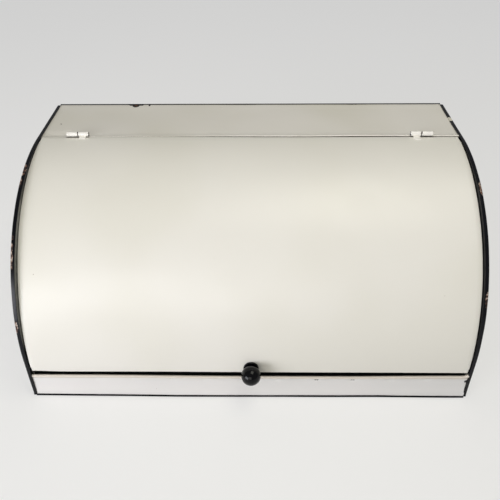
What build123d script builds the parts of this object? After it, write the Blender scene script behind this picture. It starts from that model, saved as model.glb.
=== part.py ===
"""Roll-front bread box: a sheet-steel case with a curved lid that hinges up from its top panel.

Millimetres. +Z is up, +X is to the right and the front faces -Y. The origin is at the bottom centre of
the whole box, knob included. Side profiles are drawn as depth from the back and height from the worktop.
"""

import os
from math import acos, asin, cos, degrees, pi, radians, sin, tan

from build123d import *

# Case: the outline of its end, seen from the side.
WIDTH = 460.0
HEIGHT = 209.0
TOP_FLAT = 86.0  # depth at which the flat top runs into the curve
CURVE_RADIUS = 176.0
CURVE_SPAN = 84.5  # degrees of quarter round before the straight foot
SHEET = 0.8

# Folded rim round each end, and the straight folded edges between the two rims.
RIM_WIDTH = 3.2
RIM_DEPTH = 2.8
RIM_LEG = 1.1
RIM_WEB = 1.0
RIM_BEVEL = 0.7
CASE_INSET = 0.9  # the case's sheets lie this far inside the rim's crest
EDGE_ROLL_RADIUS = 1.5
TOP_TRIM_THICKNESS = 0.6
TOP_TRIM_WIDTH = 2.4
BACK_CORNER = 0.9  # the tight bends at three corners are drawn as one flat each
FOOT_CORNER = 1.2

# Lid: one sheet bent to an arc a little flatter than the rims, hemmed on three sides.
LID_RADIUS = 188.0
LID_CENTRE_DEPTH = 74.5
LID_CENTRE_HEIGHT = 20.9
LID_TOP_DEPTH = 82.3
LID_ROLL_HEIGHT = 35.7  # height of the centre of its rolled lower edge
LID_ROLL_RADIUS = 1.5
LID_HALF_WIDTH = 225.2
HEM_WIDTH = 8.0
HEM_SLOT = 0.4

# Top panel, with a roll along its front edge.
TOP_ROLL_RADIUS = 1.2
TOP_ROLL_DEPTH = 79.8
TOP_ROLL_PROUD = 0.6
FLANGE = 8.0
FLANGE_GAP = 1.0  # room left where two flanges meet at a corner

# Front rail under the lid, with a rolled lip and a row of clinch marks.
RAIL_LOW = 1.2  # the rail reaches down past the base sheet, almost to the worktop
BASE_HEIGHT = 3.0
LIP_RADIUS = 1.6
LIP_HEIGHT = 27.4
LIP_PROUD = 0.4
CLINCH_COUNT = 10
CLINCH_PITCH = 38.2
CLINCH_FIRST = -158.8
CLINCH_HEIGHT = 23.4
CLINCH_DEPTH = 0.35
CLINCH_SIZE = (5.0, 2.4)

# Rebate behind the lid: a ledge along each end and a sill behind the rail.
LEDGE_GAP = 0.4
LEDGE_WIDTH = 8.8
LEDGE_START = 2.4  # in front of the lid's top edge
LEDGE_LOW = 40.6
REBATE_FLOOR = 24.1
SILL_DEPTH = 250.0
SILL_TOP = 39.8
SILL_LEG_LOW = 10.0

# Hinges: a fixed knuckle outside, a moving knuckle inside, and a pin through both.
AXIS_DEPTH = 80.3
AXIS_HEIGHT = 211.6
KNUCKLE_RADIUS = 2.5
PIN_RADIUS = 1.5
FIXED_BORE = 1.52
MOVING_BORE = 1.56
FIXED_KNUCKLE = (186.2, 198.0)
MOVING_KNUCKLE = (174.0, 185.8)
PIN_REACH = (175.6, 197.4)
TAB = (177.0, 183.0)
TAB_END_DEPTH = 85.2
LEAF_BACK_DEPTH = 64.0
NOTCH_PLAY = 0.3

# Knob: a ball on a foot, drawn up by a screw and washer from inside the lid.
KNOB_X = 2.0
KNOB_HEIGHT = 42.0
BALL_RADIUS = 10.0
BALL_STANDS = 11.5  # ball centre above the lid's face
BALL_CUTS = 8  # steps round half the ball, which leave it within 0.15 mm of a true sphere
FOOT_RADIUS = 7.8
FOOT_THICKNESS = 2.0
FOOT_TOP_RADIUS = 6.6
NECK_RADIUS = 3.6
SCREW_RADIUS = 2.0
SCREW_HOLE = 2.2
SCREW_IN_BALL = 8.0
SCREW_HEAD_RADIUS = 3.8
SCREW_HEAD_HEIGHT = 2.4
DRIVER_SLOT = (1.0, 1.1)
WASHER_RADIUS = 4.4
WASHER_PLAY = 0.1  # a flat washer bridges the lid's hollow side

# Back vents and base ribs.
VENT_RADIUS = 2.5
VENT_RING = 11.0
VENT_X = 90.0
VENT_HEIGHT = 160.0
VENT_RING_COUNT = 4
VENT_SIDES = 16  # each round hole is drawn with this many short sides
RIB_LENGTH = 380.0
RIB_WIDTH = 14.0
RIB_HEIGHT = 1.6
RIB_DEPTHS = (80.0, 180.0)
RIB_TAPER = 40.0

HALF = WIDTH / 2
INNER = HALF - RIM_WIDTH
CENTRE_HEIGHT = HEIGHT - CURVE_RADIUS
LEAN = 90.0 - CURVE_SPAN
CURVE_END_HEIGHT = CENTRE_HEIGHT + CURVE_RADIUS * cos(radians(CURVE_SPAN))
CURVE_END_DEPTH = TOP_FLAT + CURVE_RADIUS * sin(radians(CURVE_SPAN))
FOOT_DEPTH = CURVE_END_DEPTH + CURVE_END_HEIGHT * tan(radians(LEAN))
KNOB_ANGLE = degrees(acos((KNOB_HEIGHT - LID_CENTRE_HEIGHT) / LID_RADIUS))
KNOB_DEPTH = LID_CENTRE_DEPTH + LID_RADIUS * sin(radians(KNOB_ANGLE))
TOTAL_DEPTH = KNOB_DEPTH + BALL_STANDS * sin(radians(KNOB_ANGLE)) + BALL_RADIUS
BACK_Y = TOTAL_DEPTH / 2
LID_TOP_ANGLE = degrees(asin((LID_TOP_DEPTH - LID_CENTRE_DEPTH) / LID_RADIUS))
LID_LOW_ANGLE = degrees(acos((LID_ROLL_HEIGHT - LID_CENTRE_HEIGHT) / (LID_RADIUS - LID_ROLL_RADIUS)))
HEM_RADIUS = LID_RADIUS - 2 * SHEET - HEM_SLOT
TOP_FACE = HEIGHT - CASE_INSET
AXIS_Y = BACK_Y - AXIS_DEPTH

NODES = {}


def at(depth, height):
    """A point of a side profile, from its depth and height."""
    return (BACK_Y - depth, height)


def slab(profile, x_low, x_high):
    """A side profile carried across the box from x_low to x_high."""
    return extrude(Plane.YZ.offset(x_low) * profile, amount=x_high - x_low)


def polygon(*points):
    return make_face(Polyline(*[at(*p) for p in points], close=True))


def strip(depth_low, depth_high, height_low, height_high):
    """An upright rectangle in a side profile."""
    return polygon(
        (depth_low, height_low), (depth_high, height_low), (depth_high, height_high), (depth_low, height_high)
    )


def disc(depth, height, radius):
    return Pos(*at(depth, height)) * Circle(radius)


def roll(depth, height, radius):
    """A sheet edge rolled up into a tube."""
    return disc(depth, height, radius) - disc(depth, height, radius - SHEET)


def rolled(profile, depth, height, radius):
    """A sheet's profile with its edge rolled up into a tube."""
    return profile + disc(depth, height, radius) - disc(depth, height, radius - SHEET)


def lid_band(outer, inner, angle_low, angle_high):
    """Part of a ring round the lid's centre. Angles run from straight up towards the front."""
    centre = at(LID_CENTRE_DEPTH, LID_CENTRE_HEIGHT)
    long_arc = CenterArc(centre, outer, 90 + angle_low, angle_high - angle_low)
    short_arc = CenterArc(centre, inner, 90 + angle_low, angle_high - angle_low)
    ends = [Line(long_arc @ 0, short_arc @ 0), Line(long_arc @ 1, short_arc @ 1)]
    return make_face([long_arc, short_arc, *ends])


def end_outline(inset=0.0):
    """The case's side outline: straight back, flat top, quarter round and leaning foot."""
    curve = CenterArc(at(TOP_FLAT, CENTRE_HEIGHT), CURVE_RADIUS, 90, CURVE_SPAN)
    straight = Polyline(curve @ 1, at(FOOT_DEPTH, 0), at(0, 0), at(0, HEIGHT), curve @ 0)
    face = make_face([*curve.edges(), *straight.edges()])
    face = chamfer(face.vertices().filter_by(lambda v: v.Y < 1), FOOT_CORNER)
    back_top = face.vertices().sort_by(lambda v: v.X + v.Y)[-1]
    face = chamfer(back_top, BACK_CORNER)
    if inset:
        face = offset(face, amount=-inset)
    return face


def rail_depth(height, inset=CASE_INSET):
    """Depth of the leaning front at a height, inset from the rim's crest."""
    return FOOT_DEPTH - height * tan(radians(LEAN)) - inset / cos(radians(LEAN))


LIP_DEPTH = rail_depth(LIP_HEIGHT) + LIP_PROUD - LIP_RADIUS


def leaning(height_low, height_high, inset):
    """One sheet's thickness of the leaning front, between two heights."""
    return polygon(
        (rail_depth(height_low, inset), height_low),
        (rail_depth(height_high, inset), height_high),
        (rail_depth(height_high, inset + SHEET), height_high),
        (rail_depth(height_low, inset + SHEET), height_low),
    )


def both_sides(name, solid):
    """Keeps a right-hand piece and its mirror image."""
    NODES["right_" + name] = solid
    NODES["left_" + name] = mirror(solid, about=Plane.YZ)


def end_panel():
    """Dished end: a flat plate with a flange turned outwards, which the rim is folded over."""
    plate = slab(end_outline(RIM_LEG), INNER, INNER + SHEET)
    flange = slab(end_outline(RIM_LEG) - end_outline(RIM_LEG + SHEET), INNER, HALF - RIM_WEB)
    return plate + flange


def end_rim():
    """Folded edge of U section, closed over the end panel's flange all the way round."""
    outer_leg = slab(end_outline() - end_outline(RIM_LEG), INNER, HALF)
    web = slab(end_outline() - end_outline(RIM_DEPTH), HALF - RIM_WEB, HALF)
    inner_leg = slab(end_outline(RIM_LEG + SHEET) - end_outline(RIM_DEPTH), INNER + 2 * SHEET, HALF)
    rim = outer_leg + web + inner_leg
    face_edges = rim.edges().filter_by(lambda e: abs(e.center().X - HALF) < 0.01)
    return chamfer(face_edges, RIM_BEVEL)


def back_panel():
    """Back sheet with side flanges and two rosettes of vent holes."""
    sheet = slab(strip(CASE_INSET, CASE_INSET + SHEET, BASE_HEIGHT, TOP_FACE - SHEET), -INNER, INNER)
    flange_low = BASE_HEIGHT + FLANGE + FLANGE_GAP
    flange_profile = strip(CASE_INSET, CASE_INSET + FLANGE, flange_low, TOP_FACE - SHEET - FLANGE)
    panel = sheet + slab(flange_profile, INNER - SHEET, INNER) + slab(flange_profile, -INNER, SHEET - INNER)
    drill = Rot(X=90) * extrude(RegularPolygon(VENT_RADIUS, VENT_SIDES), amount=2 * SHEET, both=True)
    for x in (-VENT_X, VENT_X):
        middle = Pos(x, BACK_Y - CASE_INSET, VENT_HEIGHT)
        panel -= middle * drill
        for i in range(VENT_RING_COUNT):
            turn = radians(360 * i / VENT_RING_COUNT)
            panel -= middle * Pos(VENT_RING * cos(turn), 0, VENT_RING * sin(turn)) * drill
    return panel


def base_panel():
    """Base pan with flanges turned up all round and two pressed ribs."""
    front = rail_depth(BASE_HEIGHT + SHEET, CASE_INSET + SHEET)
    back = CASE_INSET + SHEET
    sheet = slab(strip(back, front, BASE_HEIGHT, BASE_HEIGHT + SHEET), -INNER, INNER)
    rear_flange = slab(strip(back, back + SHEET, BASE_HEIGHT, BASE_HEIGHT + FLANGE), SHEET - INNER, INNER - SHEET)
    front_profile = leaning(BASE_HEIGHT, SILL_LEG_LOW - FLANGE_GAP, CASE_INSET + SHEET)
    front_flange = slab(front_profile, SHEET - INNER, INNER - SHEET)
    side_profile = strip(FLANGE + 2 * SHEET, SILL_DEPTH, BASE_HEIGHT, BASE_HEIGHT + FLANGE)
    pan = sheet + rear_flange + front_flange
    pan += slab(side_profile, INNER - SHEET, INNER) + slab(side_profile, -INNER, SHEET - INNER)
    outline = SlotOverall(RIB_LENGTH, RIB_WIDTH)
    rib = Pos(0, 0, SHEET) * extrude(outline, amount=RIB_HEIGHT, taper=RIB_TAPER)
    hollow = Pos(0, 0, -SHEET) * (rib + extrude(outline, amount=SHEET))
    for depth in RIB_DEPTHS:
        place = Pos(0, BACK_Y - depth, BASE_HEIGHT)
        pan += place * rib
        pan -= place * hollow
    return pan


def top_panel():
    """Fixed top: flat sheet, front edge rolled, back and side edges turned down, notched for the hinges."""
    sheet = strip(CASE_INSET, TOP_ROLL_DEPTH, TOP_FACE - SHEET, TOP_FACE)
    roll_height = TOP_FACE + TOP_ROLL_PROUD - TOP_ROLL_RADIUS
    panel = slab(rolled(sheet, TOP_ROLL_DEPTH, roll_height, TOP_ROLL_RADIUS), -INNER, INNER)
    inside = CASE_INSET + SHEET
    rear_flange = strip(inside, inside + SHEET, TOP_FACE - SHEET - FLANGE, TOP_FACE - SHEET)
    rear_half = INNER - SHEET - FLANGE_GAP
    panel += slab(rear_flange, -rear_half, rear_half)
    flange_front = TOP_ROLL_DEPTH - TOP_ROLL_RADIUS - FLANGE_GAP
    flange_profile = strip(inside + SHEET, flange_front, TOP_FACE - FLANGE, TOP_FACE)
    panel += slab(flange_profile, INNER - SHEET, INNER) + slab(flange_profile, -INNER, SHEET - INNER)
    notch_back = AXIS_DEPTH - KNUCKLE_RADIUS - NOTCH_PLAY
    notch_profile = strip(notch_back, LID_TOP_DEPTH, TOP_FACE - FLANGE, HEIGHT)
    notch = slab(notch_profile, FIXED_KNUCKLE[0] - NOTCH_PLAY, FIXED_KNUCKLE[1] + NOTCH_PLAY)
    return panel - notch - mirror(notch, about=Plane.YZ)


def front_rail():
    """Leaning strip under the lid, its upper edge rolled to a lip, with a row of clinch marks."""
    face = leaning(RAIL_LOW, LIP_HEIGHT, CASE_INSET)
    rail = slab(rolled(face, LIP_DEPTH, LIP_HEIGHT, LIP_RADIUS), -INNER, INNER)
    length, width = CLINCH_SIZE
    for i in range(CLINCH_COUNT):
        place = Pos(CLINCH_FIRST + i * CLINCH_PITCH, BACK_Y - rail_depth(CLINCH_HEIGHT), CLINCH_HEIGHT)
        rail -= place * Rot(X=-LEAN) * Box(length, 2 * CLINCH_DEPTH, width)
    return rail


def base_trim_front():
    """Rolled edge that lies behind the rail, so that only its underside shows as a dark line."""
    depth = rail_depth(EDGE_ROLL_RADIUS, CASE_INSET + SHEET) - EDGE_ROLL_RADIUS / cos(radians(LEAN))
    return slab(roll(depth, EDGE_ROLL_RADIUS, EDGE_ROLL_RADIUS), -INNER, INNER)


def base_trim_rear():
    return slab(roll(CASE_INSET + EDGE_ROLL_RADIUS, EDGE_ROLL_RADIUS, EDGE_ROLL_RADIUS), -INNER, INNER)


def top_trim_rear():
    """Angle folded over the edge where the top panel meets the back."""
    outer = CASE_INSET - TOP_TRIM_THICKNESS
    over = strip(outer, TOP_TRIM_WIDTH, TOP_FACE, TOP_FACE + TOP_TRIM_THICKNESS)
    down = strip(outer, CASE_INSET, TOP_FACE - FLANGE, TOP_FACE)
    return slab(over + down, -INNER, INNER)


def lid_ledge():
    """Rebate strip on the end panel: an upright leg behind the rim and a curved ledge under the lid's hem."""
    top = HEM_RADIUS - LEDGE_GAP
    inside = disc(LID_CENTRE_DEPTH, LID_CENTRE_HEIGHT, top - SHEET)
    front = strip(LID_TOP_DEPTH + SHEET, FOOT_DEPTH, REBATE_FLOOR + SHEET, HEIGHT)
    beside_lip = strip(LIP_DEPTH - LIP_RADIUS, FOOT_DEPTH, REBATE_FLOOR, LIP_HEIGHT + LIP_RADIUS)
    leg = (end_outline(RIM_LEG) - inside) & front - beside_lip
    low_angle = degrees(acos((LEDGE_LOW - LID_CENTRE_HEIGHT) / top))
    high_angle = degrees(asin((LID_TOP_DEPTH + LEDGE_START - LID_CENTRE_DEPTH) / top))
    ledge = lid_band(top, top - SHEET, high_angle, low_angle)
    return slab(leg, INNER - SHEET, INNER) + slab(ledge, INNER - LEDGE_WIDTH, INNER)


def sill_strip():
    """Rebate strip behind the rail: leg on the rail, floor under the gap and upright behind the lid."""
    leg = leaning(SILL_LEG_LOW, REBATE_FLOOR - SHEET, CASE_INSET + SHEET)
    floor = polygon(
        (SILL_DEPTH - SHEET, REBATE_FLOOR - SHEET),
        (rail_depth(REBATE_FLOOR - SHEET, CASE_INSET + SHEET), REBATE_FLOOR - SHEET),
        (rail_depth(REBATE_FLOOR, CASE_INSET + SHEET), REBATE_FLOOR),
        (SILL_DEPTH - SHEET, REBATE_FLOOR),
    )
    upright = strip(SILL_DEPTH - SHEET, SILL_DEPTH, REBATE_FLOOR - SHEET, SILL_TOP)
    return slab(leg + floor + upright, SHEET - INNER, INNER - SHEET)


def lid_panel():
    """Curved lid: sides and top edge folded under as flat hems, lower edge rolled."""
    w = LID_HALF_WIDTH
    per_mm = degrees(1 / LID_RADIUS)
    sheet = lid_band(LID_RADIUS, LID_RADIUS - SHEET, LID_TOP_ANGLE, LID_LOW_ANGLE)
    roll_centre = (
        LID_CENTRE_DEPTH + (LID_RADIUS - LID_ROLL_RADIUS) * sin(radians(LID_LOW_ANGLE)),
        LID_ROLL_HEIGHT,
    )
    lid = slab(rolled(sheet, *roll_centre, LID_ROLL_RADIUS), -w, w)
    hem_low = LID_LOW_ANGLE - 2 * LID_ROLL_RADIUS * per_mm
    leaf = lid_band(HEM_RADIUS + SHEET, HEM_RADIUS, LID_TOP_ANGLE, hem_low)
    fold = lid_band(LID_RADIUS - SHEET / 2, HEM_RADIUS, LID_TOP_ANGLE, hem_low)
    side_hem = slab(leaf, w - HEM_WIDTH, w) + slab(fold, w - SHEET, w)
    lid += side_hem + mirror(side_hem, about=Plane.YZ)
    top_leaf = lid_band(HEM_RADIUS + SHEET, HEM_RADIUS, LID_TOP_ANGLE, LID_TOP_ANGLE + HEM_WIDTH * per_mm)
    top_fold = lid_band(LID_RADIUS - SHEET / 2, HEM_RADIUS, LID_TOP_ANGLE, LID_TOP_ANGLE + SHEET * per_mm)
    lid += slab(top_leaf + top_fold, -w, w)
    hole = knob_place() * Cylinder(SCREW_HOLE, 8 * SHEET)
    return lid - hole


def fixed_leaf():
    """Fixed hinge leaf: outer knuckle, then down through the notch and back under the top panel."""
    back = AXIS_DEPTH - KNUCKLE_RADIUS
    under = TOP_FACE - SHEET
    bore = disc(AXIS_DEPTH, AXIS_HEIGHT, FIXED_BORE)
    profile = disc(AXIS_DEPTH, AXIS_HEIGHT, KNUCKLE_RADIUS)
    profile += strip(back, back + SHEET, under - SHEET, AXIS_HEIGHT)
    profile += strip(LEAF_BACK_DEPTH, back + SHEET, under - SHEET, under)
    return slab(profile - bore, *FIXED_KNUCKLE)


def moving_leaf():
    """Moving hinge leaf: inner knuckle and a narrow tab that lies on the lid."""
    ring = disc(AXIS_DEPTH, AXIS_HEIGHT, KNUCKLE_RADIUS)
    bore = disc(AXIS_DEPTH, AXIS_HEIGHT, MOVING_BORE)
    end_angle = degrees(asin((TAB_END_DEPTH - LID_CENTRE_DEPTH) / LID_RADIUS))
    on_lid = lid_band(LID_RADIUS + SHEET, LID_RADIUS, LID_TOP_ANGLE, end_angle)
    bottom = AXIS_HEIGHT - KNUCKLE_RADIUS
    lid_top = LID_CENTRE_HEIGHT + LID_RADIUS * cos(radians(LID_TOP_ANGLE))
    bridge = polygon(
        (AXIS_DEPTH, bottom),
        (AXIS_DEPTH, bottom + SHEET),
        (LID_TOP_DEPTH + SHEET / 2, lid_top + SHEET),
        (LID_TOP_DEPTH + SHEET / 2, lid_top),
    )
    tab = slab((on_lid + bridge) - bore, *TAB)
    return slab(ring - bore, *MOVING_KNUCKLE) + tab


def hinge_pin():
    return slab(disc(AXIS_DEPTH, AXIS_HEIGHT, PIN_RADIUS), *PIN_REACH)


def knob_place():
    """The knob's axis: local Z stands square to the lid's face, from its surface."""
    return Pos(KNOB_X, BACK_Y - KNOB_DEPTH, KNOB_HEIGHT) * Rot(X=KNOB_ANGLE)


def turned(outline):
    """Turns an outline of (radius, height) points round local Z."""
    return revolve(Plane.XZ * make_face(Polyline(*outline, close=True)), Axis.Z)


def knob():
    """Turned ball with a short neck, drilled for the screw. The ball is cut in short straight steps."""
    first = asin(NECK_RADIUS / BALL_RADIUS)
    outline = [(NECK_RADIUS, FOOT_THICKNESS)]
    for i in range(BALL_CUTS + 1):
        turn = first + (pi - first) * i / BALL_CUTS
        outline.append((BALL_RADIUS * sin(turn), BALL_STANDS - BALL_RADIUS * cos(turn)))
    bore_top = FOOT_THICKNESS + SCREW_IN_BALL
    outline += [(0, bore_top), (SCREW_RADIUS, bore_top), (SCREW_RADIUS, FOOT_THICKNESS)]
    return knob_place() * turned(outline)


def knob_foot():
    """Turned rosette between ball and lid. Its flat underside touches the lid along one line."""
    outline = [(SCREW_HOLE, 0), (FOOT_RADIUS, 0), (FOOT_RADIUS, FOOT_THICKNESS / 2)]
    outline += [(FOOT_TOP_RADIUS, FOOT_THICKNESS), (SCREW_HOLE, FOOT_THICKNESS)]
    return knob_place() * turned(outline)


def knob_washer():
    under = -SHEET - WASHER_PLAY
    ring = Circle(WASHER_RADIUS) - Circle(SCREW_HOLE)
    return knob_place() * Pos(0, 0, under - SHEET) * extrude(ring, amount=SHEET)


def knob_screw():
    """Slotted pan-head screw, put in from inside the lid."""
    seat = -2 * SHEET - WASHER_PLAY
    head = Pos(0, 0, seat - SCREW_HEAD_HEIGHT) * extrude(Circle(SCREW_HEAD_RADIUS), amount=SCREW_HEAD_HEIGHT)
    head = chamfer(head.edges().group_by(Axis.Z)[0], SCREW_HEAD_HEIGHT / 3)
    slot_width, slot_depth = DRIVER_SLOT
    slot_place = Pos(0, 0, seat - SCREW_HEAD_HEIGHT + slot_depth / 2)
    slot = slot_place * Box(2 * SCREW_HEAD_RADIUS, slot_width, slot_depth)
    reach = FOOT_THICKNESS + SCREW_IN_BALL - SHEET
    shank = Pos(0, 0, seat) * extrude(Circle(SCREW_RADIUS), amount=reach - seat)
    return knob_place() * (head - slot + shank)


both_sides("end_panel", end_panel())
both_sides("rim", end_rim())
both_sides("lid_ledge", lid_ledge())
both_sides("hinge_fixed_leaf", fixed_leaf())
both_sides("hinge_moving_leaf", moving_leaf())
both_sides("hinge_pin", hinge_pin())
NODES["back_panel"] = back_panel()
NODES["base_panel"] = base_panel()
NODES["top_panel"] = top_panel()
NODES["front_rail"] = front_rail()
NODES["front_base_trim"] = base_trim_front()
NODES["rear_base_trim"] = base_trim_rear()
NODES["rear_top_trim"] = top_trim_rear()
NODES["sill_strip"] = sill_strip()
NODES["lid_panel"] = lid_panel()
NODES["knob"] = knob()
NODES["knob_foot"] = knob_foot()
NODES["knob_washer"] = knob_washer()
NODES["knob_screw"] = knob_screw()

os.makedirs("parts", exist_ok=True)
for name, solid in NODES.items():
    export_step(solid, f"parts/{name}.step")
print(f"total depth {TOTAL_DEPTH:.2f}, case depth {FOOT_DEPTH:.2f}, hinge axis y {AXIS_Y:.2f}")
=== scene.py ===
# %% [markdown]
# # An enamelled bread box
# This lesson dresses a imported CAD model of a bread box: a sheet-steel case with a curved lid that hinges up
# from its top panel. The CAD model brings the sizes and the joint. Here each visible piece gets its real
# folds, its dents and its finish. Lengths are in metres, +Z is up and the front faces -Y.

# %% Load the frame
from functools import partial
from math import acos, asin, atan2, cos, degrees, hypot, pi, radians, sin, tan

import bmesh
import bpy
from mathutils import Matrix, Vector


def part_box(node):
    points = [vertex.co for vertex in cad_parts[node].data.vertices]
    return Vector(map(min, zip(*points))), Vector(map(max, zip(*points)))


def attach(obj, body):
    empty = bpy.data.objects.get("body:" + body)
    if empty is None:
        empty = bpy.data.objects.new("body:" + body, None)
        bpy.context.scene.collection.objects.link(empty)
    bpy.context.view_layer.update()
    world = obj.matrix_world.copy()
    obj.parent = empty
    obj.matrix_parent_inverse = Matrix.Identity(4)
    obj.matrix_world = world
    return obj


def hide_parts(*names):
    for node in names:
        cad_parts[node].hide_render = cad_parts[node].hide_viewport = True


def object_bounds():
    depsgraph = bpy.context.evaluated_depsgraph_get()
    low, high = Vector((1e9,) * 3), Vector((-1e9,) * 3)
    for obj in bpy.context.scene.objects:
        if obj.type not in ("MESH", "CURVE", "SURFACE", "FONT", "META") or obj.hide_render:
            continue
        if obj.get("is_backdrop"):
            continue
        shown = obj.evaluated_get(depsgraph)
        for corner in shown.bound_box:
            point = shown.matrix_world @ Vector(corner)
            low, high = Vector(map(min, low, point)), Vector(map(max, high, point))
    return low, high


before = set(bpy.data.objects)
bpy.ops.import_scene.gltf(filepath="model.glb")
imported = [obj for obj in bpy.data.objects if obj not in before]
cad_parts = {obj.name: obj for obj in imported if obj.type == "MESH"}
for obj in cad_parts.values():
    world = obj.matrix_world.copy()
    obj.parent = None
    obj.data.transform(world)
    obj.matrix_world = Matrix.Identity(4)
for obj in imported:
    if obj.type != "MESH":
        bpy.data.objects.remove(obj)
cad_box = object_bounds()

# %% [markdown]
# The pieces are cut, bent and rolled from sheet, so the same few sizes come back in each of them. They are the
# sizes of the CAD model. Depths are measured forward from the back, as they are on the side drawing, and one
# function turns a depth into a Y.

# %% The sizes that all pieces share
MM = 0.001
SHEET = 0.8 * MM
BACK_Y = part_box("left_rim")[1].y
HALF_WIDTH = 230 * MM
RIM_INNER = 226.8 * MM
HEIGHT = 209 * MM
CREST_CENTRE = (86 * MM, 33 * MM)
CREST_RADIUS = 176 * MM
CREST_SPAN = radians(84.5)
LEAN = radians(90) - CREST_SPAN


def y_at(depth):
    """The Y of a point that lies this far in front of the back."""
    return BACK_Y - depth


curve_end = (
    CREST_CENTRE[0] + CREST_RADIUS * sin(CREST_SPAN),
    CREST_CENTRE[1] + CREST_RADIUS * cos(CREST_SPAN),
)
FOOT_DEPTH = curve_end[0] + curve_end[1] * tan(LEAN)
print(f"back at y {BACK_Y:.4f}, foot {FOOT_DEPTH * 1000:.1f} mm in front of it")

# %% [markdown]
# An operator works on whatever is selected, so every piece starts with nothing selected. In edit mode, pick()
# selects the vertices, edges or faces whose middle passes a test. It is what a modeller does with the mouse.


# %% Helpers for modelling by hand
def clear_selection():
    if bpy.context.object and bpy.context.object.mode != "OBJECT":
        bpy.ops.object.mode_set(mode="OBJECT")
    bpy.ops.object.select_all(action="DESELECT")


def take_all():
    bpy.ops.mesh.select_all(action="SELECT")


def activate(piece, mode="OBJECT"):
    """Makes this the one piece that is selected and that operators work on."""
    clear_selection()
    piece.select_set(True)
    bpy.context.view_layer.objects.active = piece
    bpy.ops.object.mode_set(mode=mode)


def middle(element):
    if isinstance(element, bmesh.types.BMVert):
        return element.co
    return sum((v.co for v in element.verts), Vector()) / len(element.verts)


def pick(kind, test):
    """Selects only the elements of this kind ("verts", "edges" or "faces") that pass the test, in edit mode."""
    modes = {"verts": "VERT", "edges": "EDGE", "faces": "FACE"}
    bpy.ops.mesh.select_mode(type=modes[kind])
    mesh = bpy.context.object.data
    bm = bmesh.from_edit_mesh(mesh)
    for group in (bm.faces, bm.edges, bm.verts):
        for element in group:
            element.select_set(False)
    for element in getattr(bm, kind):
        if test(middle(element), element):
            element.select_set(True)
    bm.select_flush_mode()
    bmesh.update_edit_mesh(mesh)


def turn_about(depth, height, angle, steps):
    """Spins what is selected about a line along X. A positive angle curls forwards and down."""
    bpy.ops.mesh.spin(
        steps=steps, angle=-angle, center=(0, y_at(depth), height), axis=(1, 0, 0), use_auto_merge=False
    )


def settle(name):
    """Applies the object's place and turn, so that they are in its mesh, and names it."""
    piece = bpy.context.object
    bpy.ops.object.transform_apply(location=True, rotation=True, scale=True)
    piece.name = name
    piece.data.name = name
    return piece


def apply(piece, kind, **settings):
    """Adds a modifier with its settings and applies it."""
    activate(piece)
    modifier = piece.modifiers.new(kind.lower(), kind)
    for key, value in settings.items():
        setattr(modifier, key, value)
    bpy.ops.object.modifier_apply(modifier=modifier.name)


def smooth(piece, angle=35):
    """Shades a piece smooth, except at edges that are sharper than the angle."""
    activate(piece)
    bpy.ops.object.shade_smooth_by_angle(angle=radians(angle))


def describe(piece):
    """Leaves edit mode, and prints how large a piece is."""
    bpy.ops.object.mode_set(mode="OBJECT")
    size = [f"{1000 * d:.1f}" for d in piece.dimensions]
    print(f"{piece.name}: {' x '.join(size)} mm, {len(piece.data.polygons)} faces")


# %% [markdown]
# ## The camera
# The box is seen from the front and well above, about 40 degrees down, with a moderate wide angle. The lens and
# the place come from the real sizes: the camera stands 61 cm in front of the back and 49 cm up.

# %% Camera
SENSOR_MM = 36.0
FOCAL_PIXELS = 544.6
IMAGE_PIXELS = 500
CENTRE_PIXEL = 245.16
CAMERA_X = 3.6 * MM
CAMERA_DEPTH = 613.4 * MM
CAMERA_HEIGHT = 490.7 * MM
right = Vector((0.9999, 0.0107, -0.0077)).normalized()
up = Vector((-0.0009, 0.6388, 0.7694))
up = (up - right * up.dot(right)).normalized()
back = right.cross(up)

camera_data = bpy.data.cameras.new("camera")
camera_data.sensor_width = SENSOR_MM
camera_data.lens = FOCAL_PIXELS / IMAGE_PIXELS * SENSOR_MM
camera_data.shift_x = (IMAGE_PIXELS / 2 - CENTRE_PIXEL) / IMAGE_PIXELS
camera_data.clip_start = 0.01
camera = bpy.data.objects.new("camera", camera_data)
turn = Matrix((right, up, back)).transposed().to_4x4()
camera.matrix_world = Matrix.Translation((CAMERA_X, y_at(CAMERA_DEPTH), CAMERA_HEIGHT)) @ turn
bpy.context.scene.collection.objects.link(camera)
bpy.context.scene.camera = camera
print(f"lens {camera_data.lens:.1f} mm, looking {degrees(asin(back.z)):.1f} degrees down")

# %% [markdown]
# ## The lid
# The lid is one sheet. Its top edge is folded under, its face is rolled to an arc, its lower edge is rolled into
# a bead, and its two sides are folded under last. A spin is the same thing in Blender: the edge that is
# selected turns about a line and leaves a bent sheet behind it. So the sheet is modelled without thickness,
# bend by bend, and Solidify gives it its 0.8 mm at the end.

# %% Lid: hem, curve and bead
LID_CENTRE = (74.5 * MM, 20.9 * MM)
LID_RADIUS = 188 * MM
LID_MID = LID_RADIUS - SHEET / 2
LID_HALF = 225.2 * MM
LID_BACK = 82.3 * MM
FOLD = 0.6 * MM
HEM_WIDTH = 7.0 * MM
BEAD_RADIUS = 1.5 * MM
BEAD_ROLL = radians(310)
BEAD_HEIGHT = 35.7 * MM
LID_TOP = asin((LID_BACK - LID_CENTRE[0]) / LID_RADIUS) + (FOLD + SHEET / 2) / LID_MID
LID_LOW = acos((BEAD_HEIGHT - LID_CENTRE[1]) / (LID_RADIUS - BEAD_RADIUS))
LID_AXIS = Vector((0, y_at(LID_CENTRE[0]), LID_CENTRE[1]))


def on_lid(radius, angle):
    """Depth and height of a point of the lid's arc. The angle runs from straight up towards the front."""
    return LID_CENTRE[0] + radius * sin(angle), LID_CENTRE[1] + radius * cos(angle)


def lid_angle(point):
    return atan2(LID_AXIS.y - point.y, point.z - LID_AXIS.z)


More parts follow.
